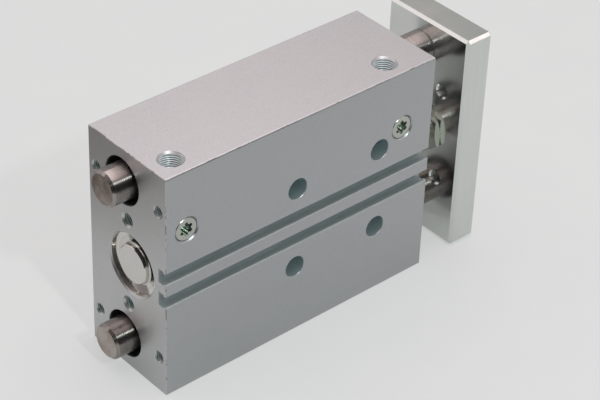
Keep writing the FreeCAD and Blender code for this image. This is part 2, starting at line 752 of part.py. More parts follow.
def all_parts():
    """Every sub-part by its node name."""
    parts = {
        "housing": housing(),
        "rear_end_cap": rear_end_cap(),
        "rear_cap_o_ring": rear_cap_o_ring(),
        "rear_bumper": rear_bumper(),
        "front_bearing_cap": front_bearing_cap(),
        "front_cap_o_ring": front_cap_o_ring(),
        "front_bumper": front_bumper(),
        "front_circlip": front_circlip(),
        "rod_bush": rod_bush(),
        "rod_seal": rod_seal(),
        "rod_wiper": rod_wiper(),
        "rear_piston_half": rear_piston_half(),
        "front_piston_half": front_piston_half(),
        "piston_magnet": piston_magnet(),
        "piston_wear_ring": piston_wear_ring(),
        "rear_piston_seal": rear_piston_seal(),
        "front_piston_seal": front_piston_seal(),
        "piston_rod_o_ring": piston_rod_o_ring(),
        "piston_nut": piston_nut(),
        "piston_rod": piston_rod(),
        "rod_lock_nut": rod_lock_nut(),
        "yoke_plate": yoke_plate(),
    }
    for name, x in plug_places.items():
        parts[name + "_plug_screw"] = plug_screw(x)
    for name, height in guide_heights.items():
        parts[name + "_rear_guide_bush"] = guide_bush(rear_x + guide_bush_from_rear, height)
        parts[name + "_front_guide_bush"] = guide_bush(front_bush_start(), height)
        parts[name + "_guide_wiper"] = guide_wiper(height)
        parts[name + "_guide_rod"] = guide_rod(height)
        parts[name + "_guide_rod_screw"] = guide_rod_screw(height)
    return parts


os.makedirs("parts", exist_ok=True)
for node, shape in all_parts().items():
    shape.exportStep("parts/" + node + ".step")
    print(f"{node}: {len(shape.Solids)} solid, {shape.Volume / 1000:.3f} cm3, valid {shape.isValid()}")
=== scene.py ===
"""Guided pneumatic cylinder: a clear anodised block, two ground guide rods and a plated yoke plate.

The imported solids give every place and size.  Here the block, the plate and the piston rod get
their cut threads, every piece gets its finish, and the camera, the floor and the lights follow
the photograph.  Lengths are in millimetres and become metres when a mesh is made; the stage, the
lamps and the camera are written in metres.
"""

import bmesh
import bpy
import numpy as np
from mathutils import Matrix


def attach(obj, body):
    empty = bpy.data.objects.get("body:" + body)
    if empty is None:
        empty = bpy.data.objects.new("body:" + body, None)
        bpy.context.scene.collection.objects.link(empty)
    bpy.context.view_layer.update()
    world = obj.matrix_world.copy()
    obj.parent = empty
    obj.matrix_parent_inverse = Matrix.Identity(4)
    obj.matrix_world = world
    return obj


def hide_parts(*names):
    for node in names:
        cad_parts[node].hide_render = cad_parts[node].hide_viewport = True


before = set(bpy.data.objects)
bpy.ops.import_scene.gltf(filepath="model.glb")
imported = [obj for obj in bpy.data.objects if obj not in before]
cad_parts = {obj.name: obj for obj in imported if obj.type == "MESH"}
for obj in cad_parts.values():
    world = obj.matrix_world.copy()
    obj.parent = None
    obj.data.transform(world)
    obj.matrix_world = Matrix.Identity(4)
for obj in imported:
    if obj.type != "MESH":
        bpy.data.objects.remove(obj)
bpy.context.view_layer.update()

MM = 0.001

# The solids' own places and sizes
block_rear, block_front = -63.0, 63.0
block_near, block_far = -21.75, 21.75
block_top = 95.0
line_y, line_z = -2.0, 47.5              # the piston line
guide_y, guide_lift = 2.6, 34.0          # the guide rods, above and below the piston line
guide_rod_rear = -71.5
plate_rear, plate_front = 80.0, 93.0
plate_half_width, plate_half_height = 21.45, 47.2
line_point = (-62.0, line_y, line_z)     # on the piston line, at the rear cap's face
cap_boss_radius, cap_rim_radius = 7.7, 12.5
thread_start = (75.2, line_y, line_z)    # of the piston rod's thread
rod_thread_radius, rod_thread_length = 4.95, 16.8


# ---------------------------------------------------------------- shapes

def in_scene(name, data):
    """A new object round a mesh, a lamp or a camera, linked to the scene."""
    thing = bpy.data.objects.new(name, data)
    bpy.context.scene.collection.objects.link(thing)
    return thing


def copy_of_solid(node, name):
    """The solid's own mesh as a new piece: its triangles are joined, and its place stays in it."""
    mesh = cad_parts[node].data.copy()
    mesh.name = name
    work = bmesh.new()
    work.from_mesh(mesh)
    bmesh.ops.remove_doubles(work, verts=work.verts, dist=0.002 * MM)
    work.to_mesh(mesh)
    work.free()
    if "custom_normal" in mesh.attributes:
        mesh.attributes.remove(mesh.attributes["custom_normal"])
    return in_scene(name, mesh)


def face_places(mesh):
    """Middle in millimetres and unit normal of every face, as two arrays."""
    middles = np.empty(len(mesh.polygons) * 3)
    normals = np.empty(len(mesh.polygons) * 3)
    mesh.polygons.foreach_get("center", middles)
    mesh.polygons.foreach_get("normal", normals)
    return middles.reshape(-1, 3) / MM, normals.reshape(-1, 3)


def without_faces(mesh, gone):
    """Takes the marked faces out of a mesh and leaves the rest as it was."""
    work = bmesh.new()
    work.from_mesh(mesh)
    work.faces.ensure_lookup_table()
    bmesh.ops.delete(work, geom=[work.faces[i] for i in np.flatnonzero(gone)], context="FACES")
    work.to_mesh(mesh)
    work.free()


def wall_of_hole(middles, normals, mouth, inward, radius, length):
    """Marks the faces of one round wall, in a hole or on a rod.

    Their normals are square to its axis.  A facet's middle lies a little inside the circle, so it
    may be 6% nearer the axis.
    """
    mouth, inward = np.array(mouth, float), np.array(inward, float)
    along = (middles - mouth) @ inward
    off = np.linalg.norm(middles - mouth - along[:, None] * inward, axis=1)
    square = np.abs(normals @ inward) < 0.02
    on_wall = (off < radius + 0.03) & (off > radius * 0.94)
    return square & on_wall & (along > 0) & (along < length)


def crossways(axis):
    """Two unit directions that make a right-handed set with the axis."""
    axis = np.array(axis, float)
    first = np.roll(axis, 1)
    return first, np.cross(axis, first)


def thread_surface(mouth, inward, wall_radius, wall_length, cut, pitch, run, outside=False):
    """One cut thread as a round grid, angle t across and distance s down the axis.

    radius = wall radius + cut * flank(s / pitch - t / turn) * fade(s), where flank is a triangle
    wave with short flats at its crest and root, and fade rises from 0 to 1 over half a pitch
    where the thread starts and falls back at the end of its run.  Past the run the radius is the
    plain wall's.  A thread on the outside of a rod takes the cut away from the radius.  The last
    result is flank * fade at each point, from 0 at the crest to 1 at the root.
    """
    mouth, inward = np.array(mouth, float), np.array(inward, float)
    first, second = crossways(inward)
    facets, steps_a_pitch = 72, 12
    steep, flat = 1.25, 0.1
    steps = int(run / pitch * steps_a_pitch) + 1
    s = np.unique(np.concatenate([np.linspace(0.0, run, steps), [wall_length]]))
    t = np.linspace(0.0, 2 * np.pi, facets, endpoint=False)
    phase = (s[:, None] / pitch - t[None, :] / (2 * np.pi)) % 1.0
    flank = np.clip(steep * (1.0 - np.abs(2.0 * phase - 1.0)) - flat, 0.0, 1.0)
    fade = np.clip(np.minimum(s, run - s) / (0.5 * pitch), 0.0, 1.0)
    sign = -1.0 if outside else 1.0
    radius = wall_radius + sign * cut * flank * fade[:, None]
    round_way = np.cos(t)[:, None] * first + np.sin(t)[:, None] * second
    points = mouth + s[:, None, None] * inward + radius[:, :, None] * round_way[None, :, :]
    index = np.arange(len(s) * facets).reshape(len(s), facets)
    after = np.roll(index, -1, axis=1)
    faces = np.stack([index[:-1], after[:-1], after[1:], index[1:]], axis=-1).reshape(-1, 4)
    if not outside:
        faces = faces[:, ::-1]
    return points.reshape(-1, 3), faces, (flank * fade[:, None]).ravel()


def piece_from(name, surfaces):
    """One piece from grids of points in millimetres, faces of four corners and cut depths."""
    points, faces, depths, shift = [], [], [], 0
    for some_points, some_faces, some_depths in surfaces:
        points.append(some_points)
        faces.append(some_faces + shift)
        depths.append(some_depths)
        shift += len(some_points)
    points, faces = np.concatenate(points) * MM, np.concatenate(faces)
    mesh = bpy.data.meshes.new(name)
    mesh.vertices.add(len(points))
    mesh.vertices.foreach_set("co", points.ravel())
    mesh.loops.add(faces.size)
    mesh.loops.foreach_set("vertex_index", faces.ravel())
    mesh.polygons.add(len(faces))
    mesh.polygons.foreach_set("loop_start", np.arange(0, faces.size, 4))
    mesh.update(calc_edges=True)
    mesh.polygons.foreach_set("use_smooth", np.ones(len(faces), bool))
    mesh.attributes.new("cut_depth", "FLOAT", "POINT").data.foreach_set(
        "value", np.concatenate(depths))
    return in_scene(name, mesh)


def soften(piece):
    """Smooth shading on round faces only.

    An edge stays sharp where its two faces meet at more than 28 degrees, and where a flat face,
    one square to an axis, meets a face that leaves its plane.
    """
    sharp_turn, along_axis, in_plane = np.cos(np.radians(28.0)), 0.99999, 0.99995
    mesh = piece.data
    mesh.polygons.foreach_set("use_smooth", np.ones(len(mesh.polygons), bool))
    normals = face_places(mesh)[1]
    sizes = np.empty(len(mesh.polygons), int)
    mesh.polygons.foreach_get("loop_total", sizes)
    edges = np.empty(len(mesh.loops), int)
    mesh.loops.foreach_get("edge_index", edges)
    faces = np.repeat(np.arange(len(sizes)), sizes)
    order = np.argsort(edges, kind="stable")
    edges, faces = edges[order], faces[order]
    pair = np.flatnonzero(edges[1:] == edges[:-1])
    first, second = normals[faces[pair]], normals[faces[pair + 1]]
    meeting = (first * second).sum(axis=1)
    flat = np.maximum(np.abs(first).max(axis=1), np.abs(second).max(axis=1)) > along_axis
    sharp = np.zeros(len(mesh.edges), bool)
    sharp[edges[pair]] = (meeting < sharp_turn) | (flat & (meeting < in_plane))
    mark = mesh.attributes.get("sharp_edge") or mesh.attributes.new("sharp_edge", "BOOLEAN", "EDGE")
    mark.data.foreach_set("value", sharp)


# ---------------------------------------------------------------- nodes

def colour(hex_value):
    """An sRGB hex colour as linear red, green, blue and alpha."""
    parts = np.array([int(hex_value[i:i + 2], 16) for i in (1, 3, 5)]) / 255.0
    linear = np.where(parts <= 0.04045, parts / 12.92, ((parts + 0.055) / 1.055) ** 2.4)
    return (*[float(v) for v in linear], 1.0)


def fill(tree, socket, value):
    """Gives a socket its value: an output is linked to it, a hex colour is made linear first."""
    if isinstance(value, bpy.types.NodeSocket):
        tree.links.new(value, socket)
    else:
        socket.default_value = colour(value) if isinstance(value, str) else value


def add(tree, kind, values=None):
    """Adds one node; each value goes to the property of that name or else to the input."""
    node = tree.nodes.new("ShaderNode" + kind)
    for key, value in (values or {}).items():
        if isinstance(key, str) and hasattr(node, key):
            setattr(node, key, value)
        else:
            fill(tree, node.inputs[key], value)
    return node


def maths(tree, operation, *values):
    """One Math node on outputs or numbers."""
    return add(tree, "Math", {"operation": operation, **dict(enumerate(values))}).outputs[0]


def vector(tree, operation, *values):
    """One Vector Math node on outputs or vectors."""
    return add(tree, "VectorMath", {"operation": operation, **dict(enumerate(values))}).outputs[0]


def axes(tree, place):
    """The three parts of a vector."""
    return add(tree, "SeparateXYZ", {0: place}).outputs


def levels(tree, amount, from_low, from_high, to_low, to_high):
    """A value stretched from one range to another and held inside it."""
    return add(tree, "MapRange", {"Value": amount, "From Min": from_low, "From Max": from_high,
                                  "To Min": to_low, "To Max": to_high}).outputs["Result"]


def speckle(tree, place, grain_mm, detail=2.0, stretch=(1.0, 1.0, 1.0)):
    """Noise whose grain is the given size in millimetres, longer where the stretch is under 1."""
    mapped = add(tree, "Mapping", {"Scale": stretch, "Vector": place}).outputs["Vector"]
    return add(tree, "TexNoise", {"Vector": mapped, "Scale": 1.0 / (grain_mm * MM),
                                  "Detail": detail, "Roughness": 0.55}).outputs["Fac"]


def shades(tree, amount, dark, light, low=0.3, high=0.7):
    """A colour ramp from a dark to a light hex colour."""
    ramp = add(tree, "ValToRGB", {"Fac": amount})
    for element, position, tone in zip(ramp.color_ramp.elements, (low, high), (dark, light)):
        element.position = position
        element.color = colour(tone)
    return ramp.outputs["Color"]


def blend_colours(tree, amount, first, second):
    """Two colours mixed by an amount."""
    return add(tree, "Mix", {"data_type": "RGBA", 0: amount, 6: first, 7: second}).outputs[2]


def new_finish(name, roughness, metallic, **fixed):
    """A material with one Principled shader; the fixed values sit on the shader's sockets."""
    material = bpy.data.materials.new(name)
    material.use_nodes = True
    tree = material.node_tree
    tree.nodes.clear()
    shader = add(tree, "BsdfPrincipled", {"Roughness": roughness, "Metallic": metallic, **fixed})
    add(tree, "OutputMaterial", {"Surface": shader.outputs["BSDF"]})
    place = add(tree, "TexCoord").outputs["Object"]
    return material, tree, shader, place


def dress(tree, shader, tone, rough=None):
    """Links the colour, and the roughness where it varies, to the shader."""
    fill(tree, shader.inputs["Base Color"], tone)
    if rough is not None:
        fill(tree, shader.inputs["Roughness"], rough)


def press(tree, shader, height, depth_mm, strength):
    """Bump of a given depth in millimetres on the shader."""
    bump = add(tree, "Bump", {"Strength": strength, "Distance": depth_mm * MM, "Height": height})
    fill(tree, shader.inputs["Normal"], bump.outputs["Normal"])
    return bump


def edge_distance(tree, place, middle, half):
    """Distance in metres from a point on a block's skin to the block's nearest edge.

    With d = |place - middle| - half on each axis, the largest d is 0 on the skin and the middle
    one is minus the distance to the edge: the sum less the largest and the smallest.
    """
    size = vector(tree, "ABSOLUTE", vector(tree, "SUBTRACT", place, middle))
    x, y, z = axes(tree, vector(tree, "SUBTRACT", size, half))
    high = maths(tree, "MAXIMUM", maths(tree, "MAXIMUM", x, y), z)
    low = maths(tree, "MINIMUM", maths(tree, "MINIMUM", x, y), z)
    total = maths(tree, "ADD", maths(tree, "ADD", x, y), z)
    middle_one = maths(tree, "SUBTRACT", maths(tree, "SUBTRACT", total, high), low)
    return maths(tree, "MULTIPLY", middle_one, -1.0)


def edge_nicks_and_shade(tree, place, middle, half, reach_mm, share):
    """How marked a point near an edge is, 0 to 1: nicks, at most the reach from an edge, on a share
    of it; on the block's skin they also serve as painted shade on the edges.
    """
    near = levels(tree, edge_distance(tree, place, middle, half), 0.0, reach_mm * MM, 1.0, 0.0)
    runs = levels(tree, speckle(tree, place, 9.0, 1.0), 0.35, 0.65, 0.0, 0.22)
    nicks = maths(tree, "ADD", speckle(tree, place, 1.6, 3.0), runs)
    return levels(tree, maths(tree, "MULTIPLY", near, nicks), 0.62 - share, 0.70 - share, 0.0, 1.0)


# ---------------------------------------------------------------- finishes

def grained(name, roughness, metallic, grain_mm, dark, light, bump_mm=0.0, detail=2.0,
            stretch=(1.0, 1.0, 1.0), span=(0.3, 0.7), **fixed):
    """Two close shades in one grain, with a bump of the given depth on the same grain."""
    material, tree, shader, place = new_finish(name, roughness, metallic, **fixed)
    grain = speckle(tree, place, grain_mm, detail, stretch)
    dress(tree, shader, shades(tree, grain, dark, light, *span))
    if bump_mm:
        press(tree, shader, grain, bump_mm, 0.5)
    return material


def anodised_skin(name, lay, dark, light):
    """Clear anodised aluminium: an extruded block, etched matte and anodised.

    The eye sees an even satin grey with a very fine grain, faint long draw lines, and small dark
    nicks along its edges, laid on thick enough that they also darken the edges' highlight: partly
    painted shade.  The etched grain is about 0.05 mm; it is drawn at 0.35 mm so that it shows.
    """
    material, tree, shader, place = new_finish(name, 0.4, 1.0)
    grain = speckle(tree, place, 0.35, 3.0)
    lines = speckle(tree, place, 0.5, 2.0, lay)
    cloud = speckle(tree, place, 22.0)
    tone = shades(tree, grain, dark, light, 0.25, 0.75)
    tone = blend_colours(tree, levels(tree, lines, 0.4, 0.7, 0.0, 0.12), tone, "#b1b2b4")
    tone = blend_colours(tree, levels(tree, cloud, 0.3, 0.7, 0.0, 0.25), tone, "#c1c2c2")
    middle = (0.0, 0.0, block_top / 2 * MM)
    half = (block_front * MM, block_far * MM, block_top / 2 * MM)
    # Dark nicks along the edges: wear, and painted shade that tones down the edges' highlight
    tone = blend_colours(tree, edge_nicks_and_shade(tree, place, middle, half, 1.0, 0.12), tone, "#979490")
    dress(tree, shader, tone, levels(tree, grain, 0.3, 0.7, 0.36, 0.45))
    press(tree, shader, grain, 0.012, 0.5)
    return material


def bored_wall(name, dark, light):
    """Anodised aluminium that a drill or a counterbore cut: smoother than the skin and greener.

    The tool's feed is about 0.1 mm; its marks are drawn as a grain of 0.4 mm.
    """
    material, tree, shader, place = new_finish(name, 0.34, 0.6)
    grain = speckle(tree, place, 0.4)
    rough = levels(tree, speckle(tree, place, 2.0), 0.3, 0.7, 0.3, 0.4)
    dress(tree, shader, shades(tree, grain, dark, light), rough)
    press(tree, shader, grain, 0.006, 0.3)
    return material


def drawn_slot(name):
    """Anodised aluminium inside the extruded sensor slots: satin greenish grey, long draw lines."""
    return grained(name, 0.5, 0.6, 0.3, "#a4acad", "#b4bcbc", 0.02, stretch=(0.02, 1.0, 1.0))


def cut_thread(name, root, crest, roughness, metallic):
    """Freshly cut thread flanks of bright bare metal, with a painted highlight on the crests and
    painted shade in the roots.

    The attribute holds how deep the cut is, from 0 at the crest to 1 at the root; the tap's
    chatter is finer than the pitch.
    """
    material, tree, shader, place = new_finish(name, roughness, metallic)
    grain = speckle(tree, place, 0.5)
    depth = add(tree, "Attribute", {"attribute_name": "cut_depth"}).outputs["Fac"]
    # Lighter crests and darker roots: a painted highlight and painted shade on the thread's flanks
    tone = shades(tree, depth, crest, root, 0.1, 0.9)
    dress(tree, shader, blend_colours(tree, levels(tree, grain, 0.4, 0.7, 0.0, 0.2), tone, root))
    press(tree, shader, grain, 0.01, 0.3)
    return material


def round_tangent(tree, place, axis_point):
    """The way the lathe's tool ran, and the arm from the axis to the point.

    The tangent is the X axis crossed with the arm.
    """
    arm = vector(tree, "SUBTRACT", place, [v * MM for v in axis_point])
    return vector(tree, "NORMALIZE", vector(tree, "CROSS_PRODUCT", (1.0, 0.0, 0.0), arm)), arm


def turned_face(name, dark, light, roughness, rise_mm=0.0):
    """Aluminium turned on a lathe: its rings spread the light into bright and dark fans.

    The rings run round the piston line.  The tool's feed is about 0.08 mm and too fine
    to draw, so the shader's stretched gloss stands for it, with a few coarser rings 0.35 mm apart
    drawn over it.  The rise is how far the tool left the floor of the ring groove, between the
    boss and the rim, higher or lower than its middle: a shallow cone.
    """
    material, tree, shader, place = new_finish(
        name, roughness, 1.0, **{"Anisotropic": 0.85, "Anisotropic Rotation": 0.25})
    tangent, arm = round_tangent(tree, place, line_point)
    fill(tree, shader.inputs["Tangent"], tangent)
    along, across, up = axes(tree, arm)
    spoke = add(tree, "CombineXYZ", {1: across, 2: up}).outputs[0]
    reach = add(tree, "VectorMath", {"operation": "LENGTH", 0: spoke}).outputs["Value"]
    unrolled = add(tree, "CombineXYZ", {0: reach, 1: along}).outputs[0]
    rings = add(tree, "TexNoise", {"Vector": unrolled, "Scale": 1.0 / (0.35 * MM),
                                   "Detail": 1.0}).outputs["Fac"]
    dress(tree, shader, shades(tree, rings, dark, light))
    fine = press(tree, shader, rings, 0.012, 0.4)
    if rise_mm:
        slope = levels(tree, reach, cap_boss_radius * MM, cap_rim_radius * MM, -1.0, 1.0)
        cone = add(tree, "Bump", {"Distance": rise_mm * MM, "Height": slope})
        fill(tree, fine.inputs["Normal"], cone.outputs["Normal"])
    return material


def ground_rod(name, axis_point, dark, light, roughness, scuffs):
    """Hardened steel ground round its axis: a mirror with hair-fine rings and faint brown smears.

    The end faces get their own paler, browner tone.  Grinding marks are about 0.02 mm; the rings
    are 0.3 mm apart.
    """
    material, tree, shader, place = new_finish(
        name, roughness, 1.0, **{"Anisotropic": 0.95, "Anisotropic Rotation": 0.25})
    fill(tree, shader.inputs["Tangent"], round_tangent(tree, place, axis_point)[0])
    rings = speckle(tree, place, 0.3, 2.0, (1.0, 0.04, 0.04))
    smear = speckle(tree, place, 5.0, 3.0)
    tone = shades(tree, rings, dark, light)
    tone = blend_colours(tree, levels(tree, smear, 0.5, 0.75, 0.0, scuffs), tone, "#8b7a6f")
    at_end = levels(tree, axes(tree, place)[0],
                    (guide_rod_rear + 0.04) * MM, (guide_rod_rear + 0.1) * MM, 0.85, 0.0)
    tone = blend_colours(tree, at_end, tone, shades(tree, smear, "#a1938c", "#c6bbb4", 0.35, 0.65))
    dress(tree, shader, tone, levels(tree, smear, 0.35, 0.75, roughness * 0.85, roughness * 1.3))
    press(tree, shader, rings, 0.004, 0.3)
    return material


def plated_steel(name, dark, light, roughness, lay, grain_mm, shaded_socket_from_y=None):
    """Steel with a thin zinc plating over pressed or turned metal: pale, slightly green, glossy.

    Behind shaded_socket_from_y in millimetres, inside a plug's socket, the colour is darkened:
    painted shade in the socket's recess.
    """
    material, tree, shader, place = new_finish(name, roughness, 1.0)
    lines = speckle(tree, place, grain_mm, 3.0, lay)
    cloud = speckle(tree, place, 7.0)
    tone = shades(tree, lines, dark, light)
    if shaded_socket_from_y is not None:
        # Painted shade inside the plug's socket, deeper than its face
        inside = levels(tree, axes(tree, place)[1],
                        (shaded_socket_from_y - 0.15) * MM, (shaded_socket_from_y + 0.15) * MM, 0.0, 0.9)
        tone = blend_colours(tree, inside, tone, "#9aa59c")
    dress(tree, shader, tone, levels(tree, cloud, 0.3, 0.7, roughness * 0.85, roughness * 1.25))
    press(tree, shader, lines, 0.006, 0.35)
    return material


def ground_plate(name):
    """Steel ground along its height and zinc plated: a soft mirror with upright hair lines.

    Bright nicks run along the bevels.  The hair lines are 0.05 mm wide; they are drawn 0.4 mm
    wide.
    """
    material, tree, shader, place = new_finish(name, 0.16, 1.0)
    lines = speckle(tree, place, 0.4, 3.0, (1.0, 1.0, 0.02))
    cloud = speckle(tree, place, 14.0)
    tone = shades(tree, lines, "#dce0dd", "#e1e4e1")
    tone = blend_colours(tree, levels(tree, cloud, 0.4, 0.7, 0.0, 0.3), tone, "#d9dbd7")
    middle = ((plate_rear + plate_front) / 2 * MM, 0.0, line_z * MM)
    half = ((plate_front - plate_rear) / 2 * MM, plate_half_width * MM, plate_half_height * MM)
    tone = blend_colours(tree, edge_nicks_and_shade(tree, place, middle, half, 1.3, 0.0), tone, "#e4e2dd")
    dress(tree, shader, tone, levels(tree, cloud, 0.3, 0.7, 0.12, 0.2))
    press(tree, shader, lines, 0.002, 0.25)
    return material


def phosphated(name):
    """Spring steel with a manganese phosphate coat: nearly black, dull, a fine crystal grain."""
    return grained(name, 0.55, 0.6, 0.3, "#2b2c2d", "#454648", 0.02, detail=3.0)


def sintered_bronze(name):
    """Sintered bearing bronze: warm brown metal full of small oil-filled pores, 0.4 mm wide."""
    return grained(name, 0.38, 1.0, 0.4, "#8d6d3d", "#b8925a", 0.02, span=(0.35, 0.6))


def moulded(name, dark, light, roughness, ior, grain_mm):
    """Moulded rubber or plastic: one even colour with the mould's fine spark-eroded grain."""
    return grained(name, roughness, 0.0, grain_mm, dark, light, 0.015, IOR=ior)


def put_on(piece, *materials):
    """Gives a piece its materials, in slot order, through the object's own slots."""
    while len(piece.material_slots) < len(materials):
        piece.data.materials.append(None)
    for slot, material in zip(piece.material_slots, materials):
        slot.link = "OBJECT"
        slot.material = material


# ---------------------------------------------------------------- threads

# Root and crest colours of each thread: the darker roots are painted shade, the lighter crests a
# painted highlight
thread_metal = {
    "port_threads": cut_thread("tapped_aluminium_port", "#93a1a5", "#f8fcfd", 0.3, 0.35),
    "rear_hole_threads": cut_thread("tapped_aluminium_hole", "#94a7a5", "#c6d4d1", 0.46, 0.28),
    "plate_hole_threads": cut_thread("tapped_steel", "#6f7371", "#bcc0bd", 0.34, 0.9),
    "rod_thread": cut_thread("rolled_rod_thread", "#6d6d69", "#bdbdb8", 0.34, 0.9),
}
thread_metal["far_hole_threads"] = thread_metal["rear_hole_threads"]

ports = [(x, -12.85, block_top) for x in (-53.7, 45.4)]
corner_holes = [(block_rear, y, z) for y in (-17.5, 17.5) for z in (15.5, 79.5)]
pair_holes = [(block_rear, 0.0, z) for z in (28.9, 66.1)]
side_holes = [(x, block_far, z) for x in (-3.0, 37.0) for z in (30.0, 65.0)]
plate_holes = [(plate_rear, y, z) for y in (-10.0, 10.0) for z in (27.5, 67.5)]

# Piece, mouths, way in, wall radius, how deep the wall starts and ends, and the thread's cut,
# pitch and run from the wall's start
block_taps = (
    ("port_threads", ports, (0, 0, -1), 4.283, 0.72, 8.0, 0.58, 0.907, 7.0),
    ("rear_hole_threads", corner_holes, (1, 0, 0), 2.1, 0.5, 12.0, 0.4, 0.8, 11.0),
    ("rear_hole_threads", pair_holes, (1, 0, 0), 2.5, 0.75, 14.0, 0.5, 1.0, 12.8),
    ("far_hole_threads", side_holes, (0, -1, 0), 2.6, 0.55, 35.5, 0.4, 1.0, 12.0),
)
plate_taps = (
    ("plate_hole_threads", plate_holes, (1, 0, 0), 2.5, 0.65, 12.35, 0.5, 1.0, 11.7),
)


def cut_threads_in(piece, taps, body):
    """Takes the plain walls of the tapped holes out of a piece and puts threaded walls there."""
    middles, normals = face_places(piece.data)
    gone = np.zeros(len(middles), bool)
    surfaces = {}
    for name, mouths, inward, radius, first, last, cut, pitch, run in taps:
        for mouth in mouths:
            start = np.array(mouth, float) + np.array(inward, float) * first
            gone |= wall_of_hole(middles, normals, start, inward, radius, last - first)
            grid = thread_surface(start, inward, radius, last - first, cut, pitch, run)
            surfaces.setdefault(name, []).append(grid)
    without_faces(piece.data, gone)
    for name, grids in surfaces.items():
        threaded = piece_from(name, grids)
        put_on(threaded, thread_metal[name])
        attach(threaded, body)


# ---------------------------------------------------------------- the block

SKIN, MILLED, BORED, SLOT, HONED, GUIDE = range(6)

skin = anodised_skin("clear_anodised_extrusion", (0.02, 1.0, 1.0), "#adb0b2", "#c9cbcd")
# The milled ends have their own lay of lines and a lighter grey than the extrusion: the lighter
# grey is painted light on the end faces
milled = anodised_skin("clear_anodised_milled_end", (1.0, 0.05, 0.6), "#bfc0c0", "#d9dada")
bored = bored_wall("anodised_bored_wall", "#a2b4b7", "#b8c9cc")
slot_inside = drawn_slot("anodised_slot_inside")
honed = turned_face("honed_piston_bore", "#bdbab4", "#d2cfc9", 0.26)
# The guide rods' bores get a near-black grey: painted shade for their deep, unlit walls
guide_bore_painted_dark = bored_wall("drilled_guide_bore", "#43484a", "#53595b")


def slanted(part):
    """True where a normal leans, neither square to an axis nor along it."""
    return (part > 0.3) & (part < 0.95)


def block_finishes(mesh):
    """Which of the six finishes each face of the block has, by its place and its normal."""
    middles, normals = face_places(mesh)
    x, y, z = middles.T
    nx, ny, nz = np.abs(normals).T
    edge, mouth, bevel = 0.65, 1.0, 0.25       # how deep edge rounds, hole mouths and end bevels go
    slot_reach, slot_depth = 8.3, 4.6          # from the piston line, and from the near side
    bore_reach, guide_reach = 13.6, 9.6        # just outside the bores' radii
    at_end = np.abs(x) > block_front - bevel
    near_end = np.abs(x) > block_front - mouth
    lengthways = nx < 0.05
    outline = (y < block_near + edge) | (y > block_far - edge) | (z < edge) | (z > block_top - edge)
    in_slots = ((np.abs(z - line_z) < slot_reach) & (y > block_near + 0.02)
                & (y < block_near + slot_depth) & lengthways)
    side_mouths = slanted(ny) & ((y < block_near + mouth) | (y > block_far - mouth))
    top_mouths = slanted(nz) & (z > block_top - mouth)
    from_line = np.hypot(y - line_y, z - line_z)
    from_guides = np.hypot(y - guide_y, np.abs(z - line_z) - guide_lift)

    kind = np.full(len(middles), BORED)
    kind[outline & lengthways & ~in_slots] = SKIN
    kind[(side_mouths | top_mouths) & ~at_end] = SKIN
    kind[(at_end & (nx > 0.9)) | (slanted(nx) & near_end)] = MILLED
    kind[in_slots] = SLOT
    kind[(nx < 0.3) & (from_line < bore_reach)] = HONED
    kind[((nx < 0.3) | ((nx < 0.9) & near_end)) & (from_guides < guide_reach)] = GUIDE
    return kind


block = copy_of_solid("housing", "block_with_cut_threads")
cut_threads_in(block, block_taps, "cylinder")
soften(block)
put_on(block, skin, milled, bored, slot_inside, honed, guide_bore_painted_dark)
block.data.polygons.foreach_set("material_index", block_finishes(block.data))
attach(block, "cylinder")
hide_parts("housing")

# ---------------------------------------------------------------- the yoke plate and the piston rod

plate_skin = ground_plate("ground_zinc_plated_plate")
plate = copy_of_solid("yoke_plate", "plate_with_cut_threads")
cut_threads_in(plate, plate_taps, "carriage")
soften(plate)
put_on(plate, plate_skin)
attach(plate, "carriage")
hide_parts("yoke_plate")

chromed = ground_rod("ground_chromed_piston_rod", (0.0, line_y, line_z), "#aeaba6", "#c0bdb8",
                     0.3, 0.15)
rod = copy_of_solid("piston_rod", "rod_with_rolled_thread")
plain_wall = wall_of_hole(*face_places(rod.data), thread_start, (1, 0, 0), rod_thread_radius,
                          rod_thread_length + 0.1)
without_faces(rod.data, plain_wall)
soften(rod)
put_on(rod, chromed)
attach(rod, "carriage")
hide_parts("piston_rod")

rod_thread = piece_from("rod_thread", [
    thread_surface(thread_start, (1, 0, 0), rod_thread_radius, rod_thread_length, 0.74, 1.25,
                   rod_thread_length, outside=True)])
put_on(rod_thread, thread_metal["rod_thread"])
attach(rod_thread, "carriage")

# ---------------------------------------------------------------- finishes of the solids

upper_rod = ground_rod("ground_guide_rod_upper", (0.0, guide_y, line_z + guide_lift),
                       "#979290", "#aca6a2", 0.26, 0.3)
# The lower rod gets a slightly darker grey than the upper one: painted shade
lower_rod_painted_darker = ground_rod("ground_guide_rod_lower", (0.0, guide_y, line_z - guide_lift),
                       "#928d8a", "#a7a19c", 0.26, 0.3)
rear_cap = turned_face("turned_rear_cap", "#cdcbc7", "#dfddd9", 0.12, rise_mm=1.0)
front_cap = turned_face("turned_front_cap", "#b0aeaa", "#c6c4bf", 0.34)
piston_metal = turned_face("turned_piston_halves", "#aeadab", "#c4c3c0", 0.32)
even = (1.0, 1.0, 1.0)
nut_metal = plated_steel("zinc_plated_nut", "#bcc1b6", "#d0d4c9", 0.24, (1.0, 0.3, 0.3), 0.45)
plug_metal = plated_steel("zinc_plated_plug", "#b5b8b1", "#cbcdc6", 0.28, even, 0.35,
                          shaded_socket_from_y=-21.1)
screw_metal = plated_steel("zinc_plated_screw", "#a7a9a5", "#bfc1bd", 0.3, even, 0.35)
clip_metal = phosphated("phosphated_circlip")
bronze = sintered_bronze("sintered_bronze_bush")
nitrile = moulded("moulded_nitrile", "#17171a", "#232326", 0.55, 1.52, 0.5)
urethane = moulded("moulded_polyurethane", "#1d2b29", "#2a3b38", 0.38, 1.49, 0.8)
ferrite = moulded("pressed_ferrite", "#2e2e31", "#3f3f42", 0.6, 1.5, 0.3)
acetal = moulded("machined_acetal", "#dcdbd3", "#eae9e2", 0.42, 1.48, 0.6)

